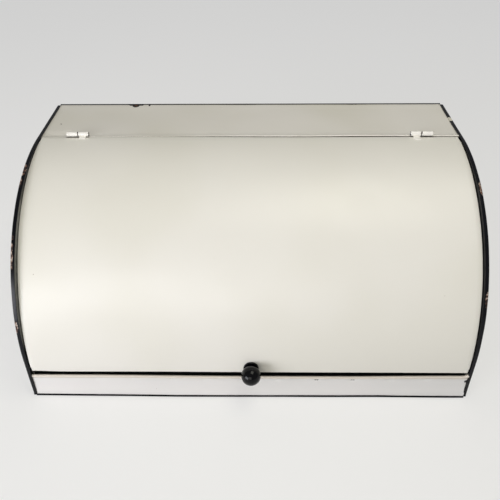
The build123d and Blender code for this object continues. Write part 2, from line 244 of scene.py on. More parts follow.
def sheet(name, width, length, centre, tilt, columns, rows):
    """A flat strip of sheet across the box, to bend further. centre is the depth and height of its middle."""
    clear_selection()
    place = (0, y_at(centre[0]), centre[1])
    bpy.ops.mesh.primitive_grid_add(
        x_subdivisions=columns, y_subdivisions=rows, size=1, location=place, rotation=(tilt, 0, 0)
    )
    bpy.ops.transform.resize(value=(width, length, 1), orient_type="LOCAL")
    strip = settle(name)
    bpy.ops.object.mode_set(mode="EDIT")
    return strip


hem_angle = HEM_WIDTH / LID_MID
leaf_middle = on_lid(LID_MID - 2 * FOLD, LID_TOP + hem_angle / 2)
flat_half = LID_HALF - SHEET / 2 - FOLD
lid = sheet("curved_lid", 2 * flat_half, HEM_WIDTH, leaf_middle, LID_TOP + hem_angle / 2, 100, 3)
rear = max(v.co.y for v in bmesh.from_edit_mesh(lid.data).verts)
pick("edges", lambda m, e: m.y > rear - 1e-5)
turn_about(*on_lid(LID_MID - FOLD, LID_TOP), pi, 6)
turn_about(*LID_CENTRE, LID_LOW - LID_TOP, 64)
turn_about(*on_lid(LID_RADIUS - BEAD_RADIUS, LID_LOW), BEAD_ROLL, 18)
describe(lid)

# %% [markdown]
# The side hems go round half a turn, too, but along a curve. Each step pulls the open edge out of the sheet and
# then shrinks it towards the lid's own centre line, which keeps it an equal distance under the face.

# %% Lid: side hems
FOLD_STEPS = 4


def extrude(move):
    """Extrudes what is selected, and moves the new part this far."""
    bpy.ops.mesh.extrude_region_move(TRANSFORM_OT_translate={"value": move})


bpy.ops.object.mode_set(mode="EDIT")
for side in (-1, 1):
    first, last = LID_TOP + 1.5 * hem_angle, LID_LOW - 0.02

    def on_side(m, e):
        away = hypot(m.y - LID_AXIS.y, m.z - LID_AXIS.z)
        on_face = abs(away - LID_MID) < FOLD / 2 and first < lid_angle(m) < last
        return on_face and side * m.x > flat_half - 1e-5 and len(e.link_faces) == 1

    pick("edges", on_side)
    reach, radius = 0.0, LID_MID
    for i in range(1, FOLD_STEPS + 1):
        turn = pi * i / FOLD_STEPS
        step = FOLD * sin(turn) - reach
        shrink = (LID_MID - FOLD * (1 - cos(turn))) / radius
        extrude((side * step, 0, 0))
        bpy.ops.transform.resize(value=(1, shrink, shrink), center_override=LID_AXIS)
        reach, radius = reach + step, radius * shrink
    extrude((-side * HEM_WIDTH, 0, 0))
describe(lid)

# %% [markdown]
# Hand-worked sheet is never quite true. A cloud texture bends the lid by a few tenths of a millimetre over a
# hand's width, along Y and Z only, so that the face and its hem move together. Then the corners and the lower
# edge are pulled where the real lid is sprung, with proportional editing, which fades out like a bent sheet.


# %% Lid: hand-worked shape and thickness
def sway(piece, seed, strength, patch, directions="YZ"):
    """Bends a sheet softly. The clouds are as large as patch, and the seed moves the piece through them."""
    clouds = bpy.data.textures.new("sheet_sway", "CLOUDS")
    clouds.noise_scale = patch
    clouds.noise_depth = 1
    anchor = bpy.data.objects.new("sway_anchor", None)
    anchor.location = (seed * 0.37, seed * 0.21, seed * 0.13)
    bpy.context.scene.collection.objects.link(anchor)
    bpy.context.view_layer.update()
    for direction in directions:
        sign = -1 if direction == "Y" else 1
        apply(
            piece,
            "DISPLACE",
            texture=clouds,
            texture_coords="OBJECT",
            texture_coords_object=anchor,
            direction=direction,
            strength=sign * strength,
            mid_level=0.5,
        )
    bpy.data.objects.remove(anchor)


def pull(piece, place, move, reach, stretch=1):
    """Moves the sheet at a place, and less and less of it around that place.

    With a stretch, the pull reaches that much further along X: the sheet is squeezed for it and let out again.
    """

    def squeeze(factor):
        take_all()
        bpy.ops.transform.resize(value=(factor, 1, 1), center_override=place)

    activate(piece, "EDIT")
    place = Vector(place)
    squeeze(1 / stretch)
    nearest = min((v.co - place).length for v in bmesh.from_edit_mesh(piece.data).verts)
    pick("verts", lambda m, v: (m - place).length < nearest + 1e-6)
    bpy.ops.transform.translate(
        value=move, use_proportional_edit=True, proportional_edit_falloff="SMOOTH", proportional_size=reach
    )
    squeeze(stretch)
    bpy.ops.object.mode_set(mode="OBJECT")


def thicken(piece, thickness=SHEET, offset=0):
    """Gives a sheet its thickness: on both sides of it, or with an offset of -1 behind its face."""
    apply(piece, "SOLIDIFY", thickness=thickness, offset=offset, use_even_offset=True)


# Each pull is an x, an angle on the arc in degrees, and the move and its reach in millimetres.
LID_PULLS = (
    (flat_half, 48, (0, -0.8, 0.7), 150),
    (-flat_half, 52, (0, 0.2, -0.2), 120),
    (-90 * MM, 85, (0, 0, 0.3), 100),
    (-222 * MM, 86, (0, 0, 1.0), 32),
    (-flat_half, 20, (-0.7, 0, 0), 120),
    (-flat_half, 72, (0.3, 0, 0), 110),
    (-120 * MM, 2.4, (0, 0.5, 0.4), 150),
)
sway(lid, 3, 0.8 * MM, 90 * MM)
for x, angle, move, reach in LID_PULLS:
    depth, height = on_lid(LID_MID, radians(angle))
    pull(lid, (x, y_at(depth), height), [d * MM for d in move], reach * MM)
thicken(lid)
smooth(lid)
describe(lid)

# %% [markdown]
# ## The rims
# Each end panel's edge is gripped by a folded strip of U section that runs all the way round. It is modelled
# from its outline: a chain of edges along the real side profile, filled, and then raised and inset in turns, as
# if the strip were pressed over a former. The right one is modelled, and the left one is its mirror image.

# %% Rims: outline
RIM_CORNER = 3.8 * MM
RIM_ROUND = 0.9 * MM
RIM_INNER_ROUND = 0.7 * MM
RIM_DEPTH = 2.8 * MM
RIM_SHEET = 0.7 * MM
RIM_START = 226.1 * MM
RIM_RETURN = 0.9 * MM


def start_chain(name, x, depth, height):
    """One vertex, from which a chain of edges is extruded."""
    clear_selection()
    bpy.ops.mesh.primitive_plane_add(size=SHEET, location=(x, y_at(depth), height))
    settle(name)
    bpy.ops.object.mode_set(mode="EDIT")
    bpy.ops.mesh.merge(type="CENTER")
    bpy.ops.mesh.select_mode(type="VERT")


def selected_middle():
    """Middle of what is selected, in edit mode."""
    bm = bmesh.from_edit_mesh(bpy.context.object.data)
    chosen = [v.co for v in bm.verts if v.select]
    return sum(chosen, Vector()) / len(chosen)


def run_to(depth, height, steps, kind="region"):
    """Extrudes what is selected in a straight line to this depth and height."""
    here = selected_middle()
    step = (Vector((here.x, y_at(depth), height)) - here) / steps
    for _ in range(steps):
        if kind == "vertex":
            bpy.ops.mesh.extrude_vertices_move(TRANSFORM_OT_translate={"value": step})
        else:
            extrude(step)


start_chain("right_folded_rim", RIM_START, 0, HEIGHT)
run_to(CREST_CENTRE[0], HEIGHT, 12, "vertex")
turn_about(*CREST_CENTRE, CREST_SPAN, 64)
run_to(FOOT_DEPTH, 0, 7, "vertex")
run_to(0, 0, 32, "vertex")
run_to(0, HEIGHT, 26, "vertex")
take_all()
bpy.ops.mesh.remove_doubles(threshold=1e-5)
bpy.ops.mesh.edge_face_add()
corners = [Vector((RIM_START, y_at(d), z)) for d, z in ((0, HEIGHT), (0, 0), (FOOT_DEPTH, 0))]
pick("verts", lambda m, v: min((m - c).length for c in corners) < 1e-5)
bpy.ops.mesh.bevel(affect="VERTICES", offset=RIM_CORNER, segments=6, profile=0.5)
rim = bpy.context.object
describe(rim)

# %% [markdown]
# Now the section. Raising the outline makes the outer wall, small insets that also rise round its edge over, a
# flat inset is the face of the strip, and the same insets in reverse turn it back into the end's recess. The
# flat that is left over in the middle is the end's opening, and is deleted.

# %% Rims: section
ROUND_STEPS = 4
activate(rim, "EDIT")
bpy.ops.mesh.select_mode(type="FACE")
take_all()
if next(f for f in bmesh.from_edit_mesh(rim.data).faces).normal.x < 0:
    bpy.ops.mesh.flip_normals()
extrude((HALF_WIDTH - RIM_ROUND - RIM_START, 0, 0))
for i in range(ROUND_STEPS):
    turn, last_turn = (pi / 2 * k / ROUND_STEPS for k in (i + 1, i))
    bpy.ops.mesh.inset(
        thickness=RIM_ROUND * (cos(last_turn) - cos(turn)), depth=RIM_ROUND * (sin(turn) - sin(last_turn))
    )
bpy.ops.mesh.inset(thickness=RIM_DEPTH - RIM_ROUND - RIM_INNER_ROUND, depth=0)
for i in range(ROUND_STEPS):
    turn, last_turn = (pi / 2 * k / ROUND_STEPS for k in (i + 1, i))
    bpy.ops.mesh.inset(
        thickness=RIM_INNER_ROUND * (sin(turn) - sin(last_turn)),
        depth=-RIM_INNER_ROUND * (cos(last_turn) - cos(turn)),
    )
extrude((-RIM_RETURN, 0, 0))
bpy.ops.mesh.delete(type="FACE")
pick("faces", lambda m, f: len(f.verts) > 8)
bpy.ops.mesh.delete(type="FACE")
describe(rim)

# %% [markdown]
# The copy is scaled by -1 along X. That turns its faces inwards, so they are flipped back before Solidify. Both
# rims sway a little, and their front corner at the foot is pulled out to a toe, as the folded strip is there.

# %% Rims: mirror, hand-worked shape and thickness
TOE = (FOOT_DEPTH - 2.35 * MM, 0.3 * MM)
TOE_PULL = 1.9 * MM
TOE_REACH = 3.4 * MM


def copy_across(piece, name):
    """A mirror image of the piece on the other side of the box, with its own mesh."""
    activate(piece)
    bpy.ops.object.duplicate()
    bpy.ops.transform.resize(value=(-1, 1, 1), center_override=(0, 0, 0))
    return settle(name)


def face_outwards(piece, test, direction):
    """Flips the piece's faces if the first one that passes the test looks away from direction."""
    face = next(f for f in piece.data.polygons if test(f.center))
    if face.normal.dot(Vector(direction)) < 0:
        piece.data.flip_normals()


left_rim = copy_across(rim, "left_folded_rim")
for side, piece in ((1, rim), (-1, left_rim)):
    face_outwards(piece, lambda c: abs(c.x) > HALF_WIDTH - 1e-5, (side, 0, 0))
    sway(piece, 5 + side, -0.35 * side * MM, 25 * MM, "X")
    widest = max(side * v.co.x for v in piece.data.vertices)
    activate(piece)
    bpy.ops.transform.translate(value=(side * (HALF_WIDTH - widest), 0, 0))
    bpy.ops.object.transform_apply(location=True)
    for x in (side * (HALF_WIDTH - RIM_ROUND), side * RIM_START):
        pull(piece, (x, y_at(TOE[0]), TOE[1]), (0, -TOE_PULL, 0), TOE_REACH)
    thicken(piece, RIM_SHEET, -1)
    smooth(piece, 50)
    describe(piece)

# %% [markdown]
# ## The front rail
# A strip leans like the foot of the rims. Its lower edge is bent in a little, and its upper edge steps forward
# and is rolled back into a lip, on which the closed lid almost rests. Ten small clinch marks show where the
# strip behind it is pressed on. They are pushed into the flat strip before it gets its thickness.

# %% Rail: strip, foot and lip
RAIL_LOW = 1.22 * MM
RAIL_INSET = 0.9 * MM
RAIL_BEND = 0.4 * MM
LIP_HEIGHT = 27.4 * MM
LIP_MID = 1.6 * MM - SHEET / 2
LIP_PROUD = 0.8 * MM
LIP_STEP = 1.6 * MM
FOOT_BEND = radians(70)
LIP_BEND = radians(300)
RAIL_HALF = RIM_INNER


def rail_depth(height, inset):
    """Depth of the leaning front at a height, this far inside the rims' crest."""
    return FOOT_DEPTH - height * tan(LEAN) - inset / cos(LEAN)


mid_inset = RAIL_INSET + SHEET / 2
strip_low, strip_high = RAIL_LOW + RAIL_BEND * sin(FOOT_BEND), LIP_HEIGHT - LIP_STEP
strip_height = (strip_high + strip_low) / 2
strip_width = (strip_high - strip_low) / cos(LEAN)
strip_middle = (rail_depth(strip_height, mid_inset), strip_height)
rail = sheet("front_strip", 2 * RAIL_HALF, strip_width, strip_middle, radians(90) - LEAN, 302, 13)
heights = [v.co.z for v in bmesh.from_edit_mesh(rail.data).verts]
low, high = min(heights), max(heights)
pick("edges", lambda m, e: m.z < low + 1e-5)
turn_about(rail_depth(low, mid_inset + RAIL_BEND), low, FOOT_BEND, 4)
pick("edges", lambda m, e: m.z > high - 1e-5)
lip_depth = rail_depth(LIP_HEIGHT, mid_inset) + LIP_PROUD - LIP_MID
run_to(lip_depth + LIP_MID, LIP_HEIGHT, 2)
turn_about(lip_depth, LIP_HEIGHT, -LIP_BEND, 16)
describe(rail)

# %% [markdown]
# Then the strip gets the shape that years of use have given it. The lip droops in the middle and rises at its
# right end, and the foot bulges forward between its fixings.

# %% Rail: clinch marks, hand-worked shape and thickness
CLINCHES = (-158.9, -121.5, -80.6, -47.2, -7.7, 30.6, 70.8, 108.6, 147.4, 185.1)
CLINCH_HEIGHT = 23.4 * MM
CLINCH_HALF = 1.5 * MM
CLINCH_DEPTH = 0.8 * MM
# Each is an x in millimetres, and how far the lip rises or the foot comes forward there.
LIP_RISES = ((-190, 0.5), (-35, -0.7), (45, -0.7), (115, -0.6), (215, 0.8))
FOOT_BULGES = ((-200, 0.4), (-120, 0.8), (-40, 1.3), (40, 1.0), (120, 0.7), (215, 1.2))
for x in CLINCHES:
    place = Vector((x * MM, y_at(rail_depth(CLINCH_HEIGHT, mid_inset)), CLINCH_HEIGHT))
    for offset in (-CLINCH_HALF, CLINCH_HALF):
        pull(rail, place + Vector((offset, 0, 0)), (0, CLINCH_DEPTH, 0), 2.8 * MM)
sway(rail, 9, 0.5 * MM, 45 * MM)
lip_top = LIP_HEIGHT + LIP_MID
pull(rail, (RAIL_HALF, y_at(lip_depth), lip_top), (0, -0.3 * MM, 2.6 * MM), 5 * MM)
for x, rise in LIP_RISES:
    pull(rail, (x * MM, y_at(lip_depth), lip_top), (0, 0, rise * MM), 22 * MM, 5)
foot_y = y_at(rail_depth(RAIL_LOW, mid_inset))
for x, forward in FOOT_BULGES:
    pull(rail, (x * MM, foot_y, RAIL_LOW), (0, -forward * MM, 0), 16 * MM, 6)
pull(rail, (-RAIL_HALF, foot_y, RAIL_LOW), (0, 0, 0.5 * MM), 16 * MM, 8)
thicken(rail)
smooth(rail)
describe(rail)

# %% [markdown]
# Under the rail lies a folded strip of black enamel. Its front edge is rolled up into a fine bead, and its rear
# edge is turned up behind the rail. The bead stands forward of the rail so that it shows as a black line under the
# white rail: a black piece standing in for the contact shadow there, so partly painted shade.

# %% Foot bead
FOOT_BEAD = 0.95 * MM
FOOT_STRIP = 0.4 * MM
FOOT_BEAD_PROUD = 1.4 * MM
FOOT_STRIP_BACK = 4.6 * MM
FOOT_STRIP_TOP = 2.6 * MM
# The bead is set forward of the rail so that its black shows under the rail where there is contact shadow: partly
# painted shade.
bead_depth = rail_depth(FOOT_BEAD, RAIL_INSET) + FOOT_BEAD_PROUD - FOOT_BEAD
strip_back = FOOT_DEPTH - FOOT_STRIP_BACK
strip_middle = ((bead_depth + strip_back) / 2, FOOT_STRIP / 2)
foot_bead = sheet("front_foot_bead", 2 * RAIL_HALF, bead_depth - strip_back, strip_middle, 0, 40, 3)
pick("edges", lambda m, e: m.y > y_at(strip_back) - 1e-5)
run_to(strip_back, FOOT_STRIP_TOP, 2)
pick("edges", lambda m, e: m.y < y_at(bead_depth) + 1e-5)
turn_about(bead_depth, FOOT_BEAD, -LIP_BEND, 16)
for x, forward in FOOT_BULGES:
    pull(foot_bead, (x * MM, y_at(bead_depth + FOOT_BEAD), FOOT_BEAD), (0, -forward * MM, 0), 16 * MM, 6)
thicken(foot_bead, FOOT_STRIP)
smooth(foot_bead, 50)
describe(foot_bead)

# %% [markdown]
# ## The top
# The fixed top lies between the lid and the back. Its front edge is rolled into a fine bead that stands proud,
# and its sides and back are turned down. Two notches in the front let the hinges down. bisect cuts the sheet
# along their sides, and the faces between the cuts are deleted.

# %% Top: sheet, bead and notches
TOP_FACE = HEIGHT - 0.9 * MM
TOP_BEAD_DEPTH = 79.8 * MM
TOP_BEAD_MID = 1.2 * MM - SHEET / 2
TOP_BEAD_PROUD = 1.0 * MM
TOP_BEAD_ROLL = radians(320)
TOP_RAMP = 3 * MM
NOTCH = (185.3 * MM, 197.8 * MM)
NOTCH_BACK = 77.5 * MM
FLANGE = 8 * MM

top_mid = TOP_FACE - SHEET / 2
top_front = TOP_BEAD_DEPTH - TOP_RAMP
top_back = 0.9 * MM + SHEET / 2
top_middle = ((top_front + top_back) / 2, top_mid)
top = sheet("top_sheet", 2 * (RIM_INNER - SHEET / 2), top_front - top_back, top_middle, 0, 120, 20)
pick("edges", lambda m, e: m.y < y_at(top_front) + 1e-5)
bead_centre = (TOP_BEAD_DEPTH, TOP_FACE + TOP_BEAD_PROUD - TOP_BEAD_MID - SHEET / 2)
run_to(TOP_BEAD_DEPTH, bead_centre[1] + TOP_BEAD_MID, 3)
turn_about(*bead_centre, TOP_BEAD_ROLL, 18)
for side in (-1, 1):
    for x in NOTCH:
        take_all()
        bpy.ops.mesh.bisect(plane_co=(side * x, 0, 0), plane_no=(1, 0, 0))
take_all()
bpy.ops.mesh.bisect(plane_co=(0, y_at(NOTCH_BACK), 0), plane_no=(0, 1, 0))
pick("faces", lambda m, f: NOTCH[0] < abs(m.x) < NOTCH[1] and m.y < y_at(NOTCH_BACK))
bpy.ops.mesh.delete(type="FACE")
for side in (-1, 1):
    edge = RIM_INNER - SHEET / 2 - 1e-5
    pick("edges", lambda m, e: side * m.x > edge and 3 * MM < BACK_Y - m.y < top_front)
    extrude((0, 0, SHEET / 2 - FLANGE))
pick("edges", lambda m, e: m.y > y_at(top_back) - 1e-5 and abs(m.x) < RIM_INNER - 4 * MM)
extrude((0, 0, SHEET / 2 - FLANGE))
describe(top)

# %% Top: hand-worked shape and thickness
# Each is an x in millimetres, and how far the bead goes back and rises there.
BEAD_BENDS = ((-214, 0.6, -1.5), (-60, 0.6, -0.2), (120, 0.0, 0.4))
BACK_RISE = 0.35 * MM
sway(top, 6, 0.7 * MM, 70 * MM, "Z")
bead_top = bead_centre[1] + TOP_BEAD_MID
for x, back_by, rise in BEAD_BENDS:
    pull(top, (x * MM, y_at(TOP_BEAD_DEPTH), bead_top), (0, back_by * MM, rise * MM), 14 * MM, 6)
for x in (-180, -60, 60, 180):
    pull(top, (x * MM, y_at(top_back), top_mid), (0, 0, BACK_RISE), 18 * MM, 7)
thicken(top)
smooth(top)
describe(top)

# %% [markdown]
# Where the top meets the back, a narrow angle of black enamel is folded over the edge.

# %% Back edge strip
EDGE_SHEET = 0.6 * MM
EDGE_BACK = 0.3 * MM
EDGE_FRONT = 1.7 * MM
EDGE_LOW = HEIGHT - 8.8 * MM
EDGE_PROUD = 0.6 * MM
CUT_EDGE = 0.15 * MM


def soften_edges(piece, width):
    """Rounds the cut edges of a piece as its enamel does."""
    apply(piece, "BEVEL", width=width, segments=2, limit_method="ANGLE", angle_limit=radians(50))
    smooth(piece, 50)


edge_height = TOP_FACE + EDGE_PROUD + EDGE_SHEET / 2
edge_mid = EDGE_BACK + EDGE_SHEET / 2
edge_middle = ((EDGE_FRONT + edge_mid) / 2, edge_height)
edge_strip = sheet("back_edge_strip", 2 * RIM_INNER, EDGE_FRONT - edge_mid, edge_middle, 0, 60, 2)
pick("edges", lambda m, e: m.y > y_at(edge_mid) - 1e-5)
run_to(edge_mid, EDGE_LOW, 6)
thicken(edge_strip, EDGE_SHEET)
soften_edges(edge_strip, CUT_EDGE)
describe(edge_strip)

# %% [markdown]
# ## The hinges
# Each hinge is two knuckles rolled from strip round one pin. The outer knuckle's strip goes down through the
# notch and back under the top. The inner knuckle ends in a narrow tab that lies on the lid. Both are modelled
# as strips that are spun round the pin, with the seam that a rolled knuckle shows.

# %% Hinges: fixed leaf
AXIS = (80.3 * MM, 211.4 * MM)
KNUCKLE_MID = 2.65 * MM - SHEET / 2
LEAF_BACK = 64 * MM
FIXED = (185.8 * MM, 197.4 * MM)
MOVING = (174.0 * MM, 184.8 * MM)
TAB = (176.3 * MM, 183.6 * MM)
TAB_END = 86.8 * MM
ROLL = radians(335)
UNDER_TOP = 0.1 * MM


def hinge_strip(name, span, middle_depth, length, height):
    """A flat strip of hinge, as wide as its knuckle, lying level."""
    strip = sheet(name, span[1] - span[0], length, (middle_depth, height), 0, 12, 4)
    take_all()
    bpy.ops.transform.translate(value=((span[0] + span[1]) / 2, 0, 0))
    return strip


under_top = TOP_FACE - SHEET * 1.5 - UNDER_TOP
upright = AXIS[0] - KNUCKLE_MID
leaf_end = upright - SHEET
leaf_middle = (LEAF_BACK + leaf_end) / 2
fixed = hinge_strip("right_fixed_knuckle", FIXED, leaf_middle, leaf_end - LEAF_BACK, under_top)
pick("edges", lambda m, e: m.y < y_at(leaf_end) + 1e-5)
turn_about(leaf_end, under_top + SHEET, -radians(90), 4)
run_to(upright, AXIS[1], 3)
turn_about(*AXIS, ROLL, 28)

# %% Hinges: moving leaf
def tab_angle(depth):
    return asin((depth - LID_CENTRE[0]) / LID_RADIUS)


TAB_MID = LID_RADIUS + SHEET / 2
TAB_START = 83.2 * MM
KNUCKLE_FLAT = 0.6 * MM
tab_start = tab_angle(TAB_START)
knuckle_foot = AXIS[1] - KNUCKLE_MID
flat_middle = AXIS[0] + KNUCKLE_FLAT / 2
moving = hinge_strip("right_moving_knuckle", MOVING, flat_middle, KNUCKLE_FLAT, knuckle_foot)
rear = max(v.co.y for v in bmesh.from_edit_mesh(moving.data).verts)
pick("edges", lambda m, e: m.y > rear - 1e-5)
turn_about(*AXIS, ROLL, 28)
front_y = y_at(AXIS[0] + KNUCKLE_FLAT)


def starts_tab(m, e):
    below_pin = m.z < AXIS[1] - KNUCKLE_MID / 2
    return abs(m.y - front_y) < 1e-5 and below_pin and TAB[0] < m.x < TAB[1] and len(e.link_faces) == 1


pick("edges", starts_tab)
run_to(*on_lid(TAB_MID, tab_start), 3)
turn_about(*LID_CENTRE, tab_angle(TAB_END) - tab_start, 4)

# %% [markdown]
# The left leaves are mirror images of the right ones. The right tab is a little longer and askew, which was done
# when it was fixed to the lid, so its end is moved after the copy is made.

# %% Hinges: thickness, rounded edges and the other side
RIGHT_TAB_MOVE = (0.3 * MM, -2.3 * MM, -0.2 * MM)
hinges = []
for piece in (fixed, moving):
    thicken(piece)
    twin = copy_across(piece, piece.name.replace("right", "left"))
    activate(twin, "EDIT")
    take_all()
    bpy.ops.mesh.normals_make_consistent(inside=False)
    if piece == moving:
        activate(piece, "EDIT")
        pick("verts", lambda m, v: m.y < y_at(TAB_END - 0.3 * MM))
        bpy.ops.transform.translate(value=RIGHT_TAB_MOVE)
    for part in (piece, twin):
        soften_edges(part, CUT_EDGE)
        describe(part)
        hinges.append(part)

# %% [markdown]
# ## The knob
# The knob is a turned wooden ball with a short neck, on a turned foot. The ball starts as a UV sphere whose
# poles lie on its own axis, square to the lid. Its lower cap is cut off and the open edge is pulled down into
# the neck. The foot is a low cylinder whose top is stepped like a rosette.

# %% Knob
KNOB_X = 2.4 * MM
KNOB_HEIGHT = 42 * MM
BALL_RADIUS = 9.95 * MM
BALL_STANDS = 11.45 * MM
NECK_RADIUS = 3.6 * MM
NECK_STEPS = ((0.2, 1.0), (0.3, 1.04))  # how far down in millimetres, and how much wider
knob_angle = acos((KNOB_HEIGHT - LID_CENTRE[1]) / LID_RADIUS)
knob_axis = Vector((0, -sin(knob_angle), cos(knob_angle)))
knob_seat = Vector((KNOB_X, y_at(on_lid(LID_RADIUS, knob_angle)[0]), KNOB_HEIGHT))
clear_selection()
ball_centre = knob_seat + knob_axis * BALL_STANDS
bpy.ops.mesh.primitive_uv_sphere_add(
    segments=64, ring_count=40, radius=BALL_RADIUS, location=ball_centre, rotation=(knob_angle, 0, 0)
)
knob = settle("turned_knob")
bpy.ops.object.mode_set(mode="EDIT")
take_all()
neck_top = (BALL_RADIUS**2 - NECK_RADIUS**2) ** 0.5
bpy.ops.mesh.bisect(
    plane_co=ball_centre - knob_axis * neck_top, plane_no=knob_axis, clear_inner=True, use_fill=False
)
for drop, scale in NECK_STEPS:
    extrude(knob_axis * -drop * MM)
    bpy.ops.transform.resize(value=(scale, scale, scale), center_override=selected_middle())
bpy.ops.mesh.edge_face_add()
smooth(knob, 50)
describe(knob)

# %% Knob foot
FOOT_RADIUS = 7.8 * MM
FOOT_THICKNESS = 2.0 * MM
ROSETTE = ((0.9, 0.0), (0.5, -0.5), (0.7, 0.0), (0.4, 0.45), (0.5, 0.0))  # each step in and down, in millimetres
clear_selection()
bpy.ops.mesh.primitive_cylinder_add(
    vertices=72,
    radius=FOOT_RADIUS,
    depth=FOOT_THICKNESS,
    location=knob_seat + knob_axis * FOOT_THICKNESS / 2,
    rotation=(knob_angle, 0, 0),
)
foot = settle("knob_rosette")
bpy.ops.object.mode_set(mode="EDIT")
pick("faces", lambda m, f: f.normal.dot(knob_axis) > 0.9)
for thickness, depth in ROSETTE:
    bpy.ops.mesh.inset(thickness=thickness * MM, depth=depth * MM)
soften_edges(foot, 0.25 * MM)
describe(foot)

# %% [markdown]
# ## Materials
# Every finish is built from nodes on the object's own coordinates. One function turns a written colour into the
# numbers that a shader takes, one sets a node's inputs, and one adds a node: add() is that one for the material
# at hand. A pattern's scale is one over its real size in metres, and a Map Range node stretches the part of it
# between two levels into a mask from 0 to 1.


# %% Helpers for materials
SMOOTH = {"interpolation_type": "SMOOTHSTEP"}
COLOUR = {"data_type": "RGBA"}


def linear(code):
    """A colour written as #RRGGBB, as linear numbers."""
    channels = (int(code[i : i + 2], 16) / 255 for i in (1, 3, 5))
    return (*(c / 12.92 if c <= 0.04045 else ((c + 0.055) / 1.055) ** 2.4 for c in channels), 1.0)


def feed(material, target, inputs):
    """Sets a node's inputs, by name or in their order: each to a value, a written colour, a node or a socket."""
    sockets = [s for s in target.inputs if s.enabled]
    for key, value in inputs.items() if isinstance(inputs, dict) else enumerate(inputs):
        socket = sockets[key] if isinstance(key, int) else next(s for s in sockets if s.name == key)
        if isinstance(value, bpy.types.Node):
            value = next(s for s in value.outputs if s.enabled)
        if isinstance(value, bpy.types.NodeSocket):
            material.node_tree.links.new(value, socket)
        else:
            socket.default_value = linear(value) if isinstance(value, str) else value


def node(material, kind, inputs=(), **settings):
    """Adds a node with its settings, its inputs and their links."""
    made = material.node_tree.nodes.new("ShaderNode" + kind)
    for key, value in settings.items():
        setattr(made, key, value)
    feed(material, made, inputs)
    return made


def start_material(name, roughness, metallic=0.0, ior=1.5):
    """A material, what adds its nodes, its shader, and the object's own coordinates to draw patterns on."""
    material = bpy.data.materials.new(name)
    material.use_nodes = True
    add = partial(node, material)
    shader = material.node_tree.nodes["Principled BSDF"]
    feed(material, shader, {"Roughness": roughness, "Metallic": metallic, "IOR": ior})
    return material, add, shader, add("TexCoord").outputs["Object"]


def mottling(add, place, size, detail, low, high, *ends):
    """Clouds of this size, whose part from low to high is stretched to run from 0 to 1 or between two ends."""
    return add("MapRange", (add("TexNoise", (place, 1 / size, detail)), low, high, *ends), **SMOOTH)


def blotches(add, place, spots, ragged=1.2 * MM):
    """How deep a point lies in the nearest of some ragged spots: 1 at a spot's middle and 0 at its edge.

    A spot is x, depth, height and its three half sizes, in millimetres.
    """
    jitter = add("TexNoise", (place, 1 / (1.6 * MM), 3.0)).outputs["Color"]
    shift = add("VectorMath", (jitter, (2 * ragged,) * 3, (-ragged,) * 3), operation="MULTIPLY_ADD")
    moved = add("VectorMath", (place, shift), operation="ADD")
    nearest = None
    for x, depth, height, *half in spots:
        centre = (x * MM, y_at(depth * MM), height * MM)
        to_spot = {
            "Vector": moved,
            "Location": [-c / (h * MM) for c, h in zip(centre, half)],
            "Scale": [1 / (h * MM) for h in half],
        }
        away = add("VectorMath", (add("Mapping", to_spot),), operation="LENGTH").outputs["Value"]
        nearest = away if nearest is None else add("Math", (nearest, away), operation="MINIMUM")
    return add("Math", (1.0, nearest), operation="SUBTRACT")


# %% [markdown]
# ### Ivory enamel
# The lid, the rail, the top and the ends are sheet steel with ivory vitreous enamel, a glass that is sprayed on
# as a slip and fired. That gives a gloss with a soft orange peel a few millimetres wide, slow drifts of tone where
# the coat is thicker, and a few dark pin specks. Where it is knocked, it chips to the dark ground coat, with rust
# at the heart.

# %% Ivory enamel
GROUND_COAT = "#23211F"
RUST = "#5B3A26"
ENAMEL_GLOSS = 0.34


def enamel(name, thick, thin, gloss=ENAMEL_GLOSS, chips=(), waviness=0.09 * MM, painted_shade=None):
    """Vitreous enamel in two tones, with chips at the places given. The last argument is a function that paints
    shade into the colour.
    """
    material, add, shader, place = start_material(name, gloss)
    drift = mottling(add, place, 130 * MM, 1.5, 0.35, 0.65)
    colour = add("Mix", (drift, thick, thin), **COLOUR)
    cells = add("TexVoronoi", {"Vector": place, "Scale": 1 / (16 * MM)})
    lot = add("SeparateColor", (cells.outputs["Color"],))
    some = add("MapRange", (lot, 0.80, 0.82), **SMOOTH)
    speck = add("MapRange", (cells.outputs["Distance"], 0.030, 0.018), **SMOOTH)
    speck = add("Math", (speck, some), operation="MULTIPLY")
    colour = add("Mix", (speck, colour, "#8C7B62"), **COLOUR)
    haze = mottling(add, place, 35 * MM, 3.0, 0.3, 0.7, gloss * 0.85, gloss * 1.2)
    peel = add("TexNoise", (place, 1 / (5 * MM), 1.0))
    bump = add("Bump", {"Height": peel, "Distance": 0.02 * MM})
    waves = add("TexNoise", (place, 1 / (28 * MM), 1.0))
    bump = add("Bump", {"Height": waves, "Distance": waviness, "Normal": bump})
    if chips:
        depth = blotches(add, place, chips)
        chipped = add("MapRange", (depth, 0.0, 0.12), **SMOOTH)
        heart = add("MapRange", (depth, 0.5, 0.8), **SMOOTH)
        bare = add("Mix", (heart, GROUND_COAT, RUST), **COLOUR)
        colour = add("Mix", (chipped, colour, bare), **COLOUR)
        matt = add("Math", (chipped, 0.7), operation="MULTIPLY")
        haze = add("Math", (haze, matt), operation="MAXIMUM")
        bump = add("Bump", {"Height": chipped, "Distance": -0.25 * MM, "Normal": bump})
    # Painted shade, where a function for it is given.
    if painted_shade:
        colour = painted_shade(add, place, colour)
    feed(material, shader, {"Base Color": colour, "Roughness": haze, "Normal": bump})
    return material
